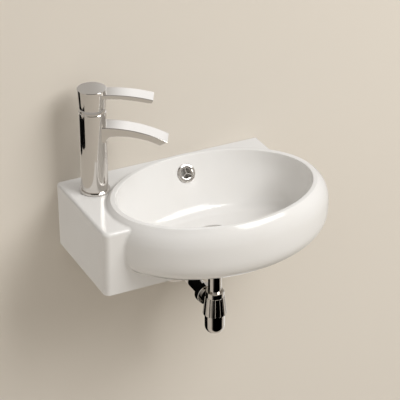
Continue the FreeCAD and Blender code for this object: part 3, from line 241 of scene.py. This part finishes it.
def polished_chrome():
    """Bright chrome over nickel on polished brass: a mirror of a faintly warm grey, with the faintest
    orange peel of the polished casting."""
    settings = bpy.context.scene.basin_metal
    material = new_material("polished_chrome")
    tree = material.node_tree
    point = add_node(tree, "ShaderNodeTexCoord").outputs["Object"]
    peel = add_node(tree, "ShaderNodeTexNoise", {
        "Vector": point, "Scale": per_metre(6), "Detail": 1.0})
    bump = add_node(tree, "ShaderNodeBump", {
        "Height": peel.outputs["Fac"], "Strength": 0.2, "Distance": 0.01 * MM})
    smear = add_node(tree, "ShaderNodeTexNoise", {
        "Vector": point, "Scale": per_metre(25), "Detail": 3.0})
    gloss = add_node(tree, "ShaderNodeMapRange", {
        "Value": smear.outputs["Fac"], "To Min": 0.04, "To Max": 0.09})
    shader = add_node(tree, "ShaderNodeBsdfPrincipled", {
        "Base Color": rgba(settings.chrome), "Metallic": 1.0, "Roughness": gloss.outputs["Result"],
        "Normal": bump.outputs["Normal"]})
    return set_surface(material, shader)


def zinc_plated_steel():
    """Cold formed steel with bright zinc: grey, half matt, with a faint crystalline mottle."""
    settings = bpy.context.scene.basin_metal
    material = new_material("zinc_plated_steel")
    tree = material.node_tree
    point = add_node(tree, "ShaderNodeTexCoord").outputs["Object"]
    crystals = add_node(tree, "ShaderNodeTexVoronoi", {"Vector": point, "Scale": per_metre(2.5)})
    gloss = add_node(tree, "ShaderNodeMapRange", {
        "Value": crystals.outputs["Distance"], "To Min": 0.3, "To Max": 0.42})
    shader = add_node(tree, "ShaderNodeBsdfPrincipled", {
        "Base Color": rgba(settings.steel), "Metallic": 1.0, "Roughness": gloss.outputs["Result"]})
    return set_surface(material, shader)


def turned_brass():
    """Brass bar turned on a lathe: yellow, with the rings that the tool leaves. The real rings are
    0.1 mm apart and would not show, so they are drawn about 5 mm apart."""
    settings = bpy.context.scene.basin_metal
    material = new_material("turned_brass")
    tree = material.node_tree
    point = add_node(tree, "ShaderNodeTexCoord").outputs["Object"]
    rings = add_node(tree, "ShaderNodeTexWave", {
        "Vector": point, "Scale": per_metre(RING_RADIAN) / WAVE_RADIANS, "Distortion": 0.0},
        bands_direction="Z")
    bump = add_node(tree, "ShaderNodeBump", {
        "Height": rings.outputs["Fac"], "Strength": 0.3, "Distance": 0.03 * MM})
    shader = add_node(tree, "ShaderNodeBsdfPrincipled", {
        "Base Color": rgba(settings.brass), "Metallic": 1.0, "Roughness": 0.28,
        "Normal": bump.outputs["Normal"]})
    return set_surface(material, shader)


def moulded_rubber():
    """Black rubber out of a mould: matt, with a fine dusty grain."""
    settings = bpy.context.scene.basin_small
    material = new_material("moulded_rubber")
    tree = material.node_tree
    point = add_node(tree, "ShaderNodeTexCoord").outputs["Object"]
    grain = add_node(tree, "ShaderNodeTexNoise", {
        "Vector": point, "Scale": per_metre(1.2), "Detail": 3.0})
    bump = add_node(tree, "ShaderNodeBump", {
        "Height": grain.outputs["Fac"], "Strength": 0.4, "Distance": 0.05 * MM})
    shader = add_node(tree, "ShaderNodeBsdfPrincipled", {
        "Base Color": rgba(settings.rubber), "Roughness": 0.72, "IOR": 1.52,
        "Normal": bump.outputs["Normal"]})
    return set_surface(material, shader)


def moulded_acetal():
    """Off-white acetal from an eroded mould: half matt, with the mould's fine grain."""
    settings = bpy.context.scene.basin_small
    material = new_material("moulded_acetal")
    tree = material.node_tree
    point = add_node(tree, "ShaderNodeTexCoord").outputs["Object"]
    grain = add_node(tree, "ShaderNodeTexNoise", {
        "Vector": point, "Scale": per_metre(0.9), "Detail": 2.0})
    bump = add_node(tree, "ShaderNodeBump", {
        "Height": grain.outputs["Fac"], "Strength": 0.3, "Distance": 0.02 * MM})
    shader = add_node(tree, "ShaderNodeBsdfPrincipled", {
        "Base Color": rgba(settings.plastic), "Roughness": 0.42, "IOR": 1.48,
        "Normal": bump.outputs["Normal"]})
    return set_surface(material, shader)


def lapped_alumina():
    """Sintered alumina, lapped flat until two discs seal: dense, ivory white and almost a mirror."""
    settings = bpy.context.scene.basin_small
    material = new_material("lapped_alumina")
    tree = material.node_tree
    point = add_node(tree, "ShaderNodeTexCoord").outputs["Object"]
    grain = add_node(tree, "ShaderNodeTexNoise", {
        "Vector": point, "Scale": per_metre(1), "Detail": 4.0})
    gloss = add_node(tree, "ShaderNodeMapRange", {
        "Value": grain.outputs["Fac"], "To Min": 0.08, "To Max": 0.16})
    shader = add_node(tree, "ShaderNodeBsdfPrincipled", {
        "Base Color": rgba(settings.alumina), "Roughness": gloss.outputs["Result"], "IOR": 1.76})
    return set_surface(material, shader)


FINISHES = {"glaze": vitreous_glaze, "chrome": polished_chrome, "steel": zinc_plated_steel,
            "brass": turned_brass, "rubber": moulded_rubber, "plastic": moulded_acetal,
            "disc": lapped_alumina}


def finish_of(slot):
    """The material of one of the record's slots, made on first use."""
    make = FINISHES[slot]
    return bpy.data.materials.get(make.__name__) or make()


def paint(names):
    """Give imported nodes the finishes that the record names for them."""
    slots = {part["node"]: part["material_slot"] for part in frame["record"]["subparts"]}
    for name in names:
        for place in frame["nodes"][name].material_slots:
            place.material = finish_of(slots[name])


# The cove ---------------------------------------------------------------------------------------

def shelf_distance(point):
    """How far a point lies outside the shelf's deck, front and right end, with the deck's edge
    rounded and the upright corner sharp."""
    front = SHELF_FRONT + FRONT_LEAN * (DECK - point[2])
    walls = max(front - point[1], point[0] - SHELF_RIGHT) + SHELF_EDGE
    top = point[2] - DECK + SHELF_EDGE
    return min(max(walls, top), 0) + math.hypot(max(walls, 0), max(top, 0)) - SHELF_EDGE


def bowl_level(point):
    """Zero on the bowl's oval outside and positive away from it."""
    across = math.hypot((point[0] - BOWL_AXIS[0]) / HALF_LENGTH,
                        (point[1] - BOWL_AXIS[1]) / HALF_WIDTH)
    above = point[2] > WIDEST
    fullness = RISE_FULLNESS if above else DROP_FULLNESS
    along = abs(point[2] - WIDEST) / (RISE if above else DROP)
    return (across ** fullness + along ** fullness) ** (1 / fullness) - 1


def slope(field, point):
    """How a field grows along each axis at a point."""
    reach = 0.01 * MM
    return np.array([(field(point + step) - field(point - step)) / (2 * reach)
                     for step in reach * np.eye(3)])


def bowl_distance(point):
    """How far a point lies outside the bowl, or below its flat base."""
    return max(bowl_level(point) / np.linalg.norm(slope(bowl_level, point)), BASE - point[2])


def settle(centre, radius):
    """Move a ball's centre until the ball touches both the shelf and the bowl, and give both normals."""
    for _ in range(SETTLING_STEPS):
        gaps = np.array([shelf_distance(centre) - radius, bowl_distance(centre) - radius])
        slopes = np.array([slope(shelf_distance, centre), slope(bowl_distance, centre)])
        centre = centre - np.linalg.pinv(slopes) @ gaps
    return centre, slopes / np.linalg.norm(slopes, axis=1)[:, None]


def rolled_ball(radius, spacing):
    """The places of a ball that rolls once round the corner of shelf and bowl, with both normals."""
    start = np.array([BOWL_AXIS[0] - HALF_LENGTH, BOWL_AXIS[1], DECK + radius])
    centre, normals = settle(start, radius)
    stations = [(centre, normals)]
    while len(stations) < MOST_PLACES:
        along = np.cross(normals[0], normals[1])
        centre, normals = settle(centre + spacing * along / np.linalg.norm(along), radius)
        to_start = np.linalg.norm(centre - stations[0][0])
        if len(stations) > FEWEST_PLACES and to_start < ROUND_WITHIN * spacing:
            return stations
        stations.append((centre, normals))
    raise RuntimeError("the cove does not close")


def cove_section(centre, normals, radius, segments):
    """The hollow arc between shelf and bowl, its normals, and the point behind it inside the clay."""
    first, last = -normals[0], -normals[1]
    angle = math.acos(np.clip(first @ last, -1, 1))
    turns = [(math.sin((1 - share) * angle) * first + math.sin(share * angle) * last) / math.sin(angle)
             for share in np.linspace(0, 1, segments + 1)]
    behind = centre + COVE_DEPTH * radius * (first + last) / (1 + first @ last)
    return [centre + radius * turn for turn in turns], [-turn for turn in turns], behind


def cove_mesh(radius, spacing, segments):
    """A closed band of glaze that rounds the hollow corner. The ball touches both faces, and the arc
    is a hair smaller, so its edges stand that much proud of them."""
    stations = rolled_ball(radius, spacing)
    vertices, normals, faces = [], [], []
    for centre, pair in stations:
        arc, facing, behind = cove_section(centre, pair, radius - COVE_PROUD, segments)
        vertices += [*arc, behind]
        normals += [*facing, -(pair[0] + pair[1])]
    row = segments + 2
    for station in range(len(stations)):
        here, there = station * row, (station + 1) % len(stations) * row
        for step in range(row):
            following = (step + 1) % row
            faces.append((here + step, there + step, there + following, here + following))
    mesh = bpy.data.meshes.new("basin_cove")
    mesh.from_pydata([list(vertex) for vertex in vertices], [], faces)
    mesh.shade_smooth()
    mesh.normals_split_custom_set_from_vertices([list(normal) for normal in normals])
    return mesh


# Operators --------------------------------------------------------------------------------------

class PieceOperator(bpy.types.Operator):
    """Finish a group of pieces"""
    bl_idname = "basin.piece"
    bl_label = "Pieces"
    bl_options = {"REGISTER", "UNDO"}
    nodes = ()

    def execute(self, context):
        paint(self.nodes)
        return {"FINISHED"}


class CeramicOperator(PieceOperator):
    """Glaze the basin and round the hollow corner between its bowl and its shelf"""
    bl_idname = "basin.ceramic"
    bl_label = "Ceramic"
    nodes = ("basin",)

    def execute(self, context):
        settings = context.scene.basin_ceramic
        paint(self.nodes)
        mesh = cove_mesh(settings.cove_radius, settings.cove_spacing, settings.cove_segments)
        mesh.materials.append(finish_of("glaze"))
        cove = bpy.data.objects.new("basin_cove", mesh)
        context.scene.collection.objects.link(cove)
        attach(cove, "fixed")
        return {"FINISHED"}


class OverflowOperator(PieceOperator):
    """Plate the overflow ring"""
    bl_idname = "basin.overflow"
    bl_label = "Overflow Ring"
    nodes = ("overflow_ring",)


class WallFixingsOperator(PieceOperator):
    """Finish the bolts, bushes, washers and nuts that hold the basin to the wall"""
    bl_idname = "basin.wall_fixings"
    bl_label = "Wall Fixings"
    nodes = ("wall_bolts", "wall_bushes", "wall_washers", "wall_nuts")


class TapFixingsOperator(PieceOperator):
    """Finish the tap's seal, stud and clamp"""
    bl_idname = "basin.tap_fixings"
    bl_label = "Tap Fixings"
    nodes = ("tap_base_seal", "tap_fixing_stud", "tap_clamp_seal", "tap_clamp_plate", "tap_fixing_nut")


class TapOperator(PieceOperator):
    """Plate the tap's body, its base ring and its dome, and finish the slotted insert"""
    bl_idname = "basin.tap"
    bl_label = "Tap"
    nodes = ("tap_body", "tap_base_ring", "dome_cover", "aerator")


class CartridgeOperator(PieceOperator):
    """Finish the cartridge inside the tap"""
    bl_idname = "basin.cartridge"
    bl_label = "Cartridge"
    nodes = ("cartridge_base_seal", "cartridge_base", "fixed_disc", "moving_disc", "cartridge_body",
             "cartridge_nut", "cartridge_turret", "stem_pin", "cartridge_stem")


class HandleOperator(PieceOperator):
    """Plate the handle and finish its screw and cap"""
    bl_idname = "basin.handle"
    bl_label = "Handle"
    nodes = ("handle", "handle_screw", "handle_cap")


class WasteOperator(PieceOperator):
    """Finish the waste with its plug, seals and backnut"""
    bl_idname = "basin.waste"
    bl_label = "Waste"
    nodes = ("waste_body", "waste_top_seal", "waste_lower_seal", "waste_backnut", "waste_plug",
             "plug_seal_ring")


class TrapOperator(PieceOperator):
    """Finish the bottle trap, its pipe and its rosette"""
    bl_idname = "basin.trap"
    bl_label = "Trap"
    nodes = ("trap_coupling_nut", "trap_top_washer", "trap_inlet_tube", "trap_inlet_nut",
             "trap_inlet_seal", "trap_body", "trap_cup", "trap_cup_seal", "trap_outlet_nut",
             "trap_outlet_seal", "trap_outlet_pipe", "wall_rosette")


# Stage ------------------------------------------------------------------------------------------

def board(name, centre, across, up, material):
    """A flat rectangle from its centre and its two half sides."""
    mesh = bpy.data.meshes.new(name)
    centre, across, up = Vector(centre), Vector(across), Vector(up)
    corners = [centre - across - up, centre + across - up, centre + across + up, centre - across + up]
    mesh.from_pydata(corners, [], [(0, 1, 2, 3)])
    mesh.materials.append(material)
    item = bpy.data.objects.new(name, mesh)
    bpy.context.scene.collection.objects.link(item)
    return item


def wall_paint():
    """Matt wall paint. The wall shows only to the camera and through clear things, and only from its
    front. It shades nothing and nothing mirrors it, so that the basin's back can be looked at and is
    lit as its front is."""
    material = new_material("wall_paint")
    tree = material.node_tree
    path = add_node(tree, "ShaderNodeLightPath")
    shown = add_node(tree, "ShaderNodeMath", {
        0: path.outputs["Is Camera Ray"], 1: path.outputs["Is Transmission Ray"]},
        operation="MAXIMUM")
    side = add_node(tree, "ShaderNodeNewGeometry")
    front = add_node(tree, "ShaderNodeMath", {0: shown.outputs[0], 1: side.outputs["Backfacing"]},
                     operation="SUBTRACT", use_clamp=True)
    clear = add_node(tree, "ShaderNodeBsdfTransparent")
    paint_coat = add_node(tree, "ShaderNodeBsdfDiffuse", {
        "Color": rgba(bpy.context.scene.basin_stage.wall), "Roughness": 1.0})
    mix = add_node(tree, "ShaderNodeMixShader", {
        0: front.outputs[0], 1: clear.outputs[0], 2: paint_coat.outputs[0]})
    return set_surface(material, mix)


def matt_card(name, shade):
    """Matt card or felt of one colour."""
    material = new_material(name)
    shader = add_node(material.node_tree, "ShaderNodeBsdfDiffuse", {
        "Color": rgba(shade), "Roughness": 1.0})
    return set_surface(material, shader)


def soft_card(name, level):
    """A card of one brightness in its middle that fades out towards its edges."""
    material = new_material(name)
    tree = material.node_tree
    point = add_node(tree, "ShaderNodeTexCoord").outputs["Object"]
    reach = add_node(tree, "ShaderNodeVectorMath", {0: point}, operation="LENGTH")
    fade = add_node(tree, "ShaderNodeMapRange", {
        "Value": reach.outputs["Value"], "From Min": FADE_START, "From Max": 1.0, "To Min": 1.0,
        "To Max": 0.0}, interpolation_type="SMOOTHSTEP")
    clear = add_node(tree, "ShaderNodeBsdfTransparent")
    glow = add_node(tree, "ShaderNodeEmission", {"Strength": level})
    mix = add_node(tree, "ShaderNodeMixShader", {
        0: fade.outputs["Result"], 1: clear.outputs[0], 2: glow.outputs[0]})
    return set_surface(material, mix)


def only_mirrored(item):
    """Let only bright surfaces see a board: it neither shows, lights nor shades anything else."""
    item.visible_camera = item.visible_diffuse = item.visible_shadow = False


def lamp(name, place, aim, size, power, shade):
    """A square soft lamp that points at a place."""
    light = bpy.data.lights.new(name, "AREA")
    light.size = size
    light.energy = power
    light.color = shade
    item = bpy.data.objects.new(name, light)
    item.location = place
    item.rotation_euler = (Vector(aim) - Vector(place)).to_track_quat("-Z", "Y").to_euler()
    bpy.context.scene.collection.objects.link(item)


def room_light():
    """A faintly warm light from all around, about a third weaker from below than from above."""
    settings = bpy.context.scene.basin_stage
    world = bpy.data.worlds.new("room")
    bpy.context.scene.world = world
    world.use_nodes = True
    tree = world.node_tree
    tree.nodes.clear()
    direction = add_node(tree, "ShaderNodeTexCoord").outputs["Generated"]
    height = add_node(tree, "ShaderNodeSeparateXYZ", {0: direction}).outputs["Z"]
    level = add_node(tree, "ShaderNodeMapRange", {
        "Value": height, "From Min": HEIGHT_BELOW, "From Max": HEIGHT_ABOVE,
        "To Min": SHARE_BELOW * settings.room_level, "To Max": SHARE_ABOVE * settings.room_level})
    sky = add_node(tree, "ShaderNodeBackground", {
        "Color": rgba(settings.room), "Strength": level.outputs["Result"]})
    add_node(tree, "ShaderNodeOutputWorld", {"Surface": sky.outputs[0]})


def photo_camera():
    """The camera of the photograph: a long lens, from the front left and above."""
    azimuth, elevation = math.radians(CAMERA_AZIMUTH), math.radians(CAMERA_ELEVATION)
    back = Vector((math.sin(azimuth) * math.cos(elevation), -math.cos(azimuth) * math.cos(elevation),
                   math.sin(elevation)))
    data = bpy.data.cameras.new("photo_camera")
    data.sensor_width = CAMERA_SENSOR
    data.lens = CAMERA_LENS
    data.clip_start, data.clip_end = NEAREST_SEEN, FARTHEST_SEEN
    camera = bpy.data.objects.new("photo_camera", data)
    camera.location = CAMERA_PLACE
    camera.rotation_euler = (-back).to_track_quat("-Z", "Y").to_euler()
    bpy.context.scene.collection.objects.link(camera)
    bpy.context.scene.camera = camera


# Black boards that only bright surfaces mirror: centre, half width and half height. Two darken the left
# of the tap, one its upper edges and its foot, and the last the left of the trap and its pipe.
FLAGS = (("tap_left_flag", (-0.31, 0.0245, 0.074), (0, 0.0745, -0.015), (0, 0, 0.029)),
         ("tap_back_flag", (-0.31, 0.2645, 0.002), (0, 0.1855, -0.082), (0, 0, 0.06)),
         ("ceiling_flag", (-0.44, -0.70, 1.2), (-0.267, -0.537, 0), (0.49, -0.245, 0)),
         ("trap_flag", (-0.055, -0.06, -0.21), (0.105, 0, 0), (0, 0, 0.16)))

# Fading cards that only bright surfaces mirror: centre, turn about Z in degrees, half width, half
# height and brightness. The first lies on the lever and the spout, the second on the trap's right and
# the dark ones on the trap's front.
CARDS = (("tap_card", (0.07, 0.06, 0.27), 0, 0.17, 0.16, 1.25),
         ("trap_card", (0.15, -0.02, -0.27), 90, 0.14, 0.16, 1.1),
         ("trap_shade", (0.099, -0.237, -0.23), 34, 0.11, 0.14, 0.0),
         ("trap_front_shade", (0.04, -0.257, -0.30), 4, 0.3, 0.35, 0.0))


class StageOperator(bpy.types.Operator):
    """Set up the camera, the backdrop and plain soft light"""
    bl_idname = "basin.stage"
    bl_label = "Stage"
    bl_options = {"REGISTER", "UNDO"}

    def execute(self, context):
        settings = context.scene.basin_stage
        context.scene.view_settings.view_transform = "Standard"
        photo_camera()
        room_light()
        lamp("key_lamp", KEY_PLACE, KEY_AIM, settings.key_size, settings.key_power, linear("FFFFFF"))
        board("wall", WALL_CENTRE, (WALL_HALF_LENGTH, 0, 0), (0, 0, WALL_HALF_HEIGHT), wall_paint())
        board("floor", (*FLOOR_CENTRE, -settings.floor_drop), (FLOOR_HALF_SIDE, 0, 0),
              (0, FLOOR_HALF_SIDE, 0), matt_card("floor_card", settings.floor))
        black = matt_card("black_felt", linear("101010"))
        for name, centre, across, up in FLAGS:
            only_mirrored(board(name, centre, across, up, black))
        for name, centre, turn, half_width, half_height, level in CARDS:
            card = board(name, (0, 0, 0), (1, 0, 0), (0, 0, 1), soft_card(name, level))
            card.location, card.scale = centre, (half_width, 1, half_height)
            card.rotation_euler.z = math.radians(turn)
            only_mirrored(card)
        return {"FINISHED"}


OPERATORS = (CeramicOperator, OverflowOperator, WallFixingsOperator, TapFixingsOperator, TapOperator,
             CartridgeOperator, HandleOperator, WasteOperator, TrapOperator, StageOperator)


class BASIN_PT_panel(bpy.types.Panel):
    """Buttons for every group of pieces, and the sizes and colours they use"""
    bl_idname = "BASIN_PT_panel"
    bl_label = "Hand Basin"
    bl_space_type = "VIEW_3D"
    bl_region_type = "UI"
    bl_category = "Basin"

    def draw(self, context):
        for name, group in SETTINGS.items():
            box = self.layout.box()
            for item in group.__annotations__:
                box.prop(getattr(context.scene, name), item)
        for operator in OPERATORS:
            self.layout.operator(operator.bl_idname)


CLASSES = (*SETTINGS.values(), *OPERATORS, BASIN_PT_panel)


def register():
    for item in CLASSES:
        bpy.utils.register_class(item)
    for name, group in SETTINGS.items():
        setattr(bpy.types.Scene, name, PointerProperty(type=group))


def unregister():
    for name in SETTINGS:
        delattr(bpy.types.Scene, name)
    for item in reversed(CLASSES):
        bpy.utils.unregister_class(item)


def main():
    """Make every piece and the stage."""
    register()
    for operator in OPERATORS:
        group, name = operator.bl_idname.split(".")
        getattr(getattr(bpy.ops, group), name)()


if __name__ == "__main__":
    main()
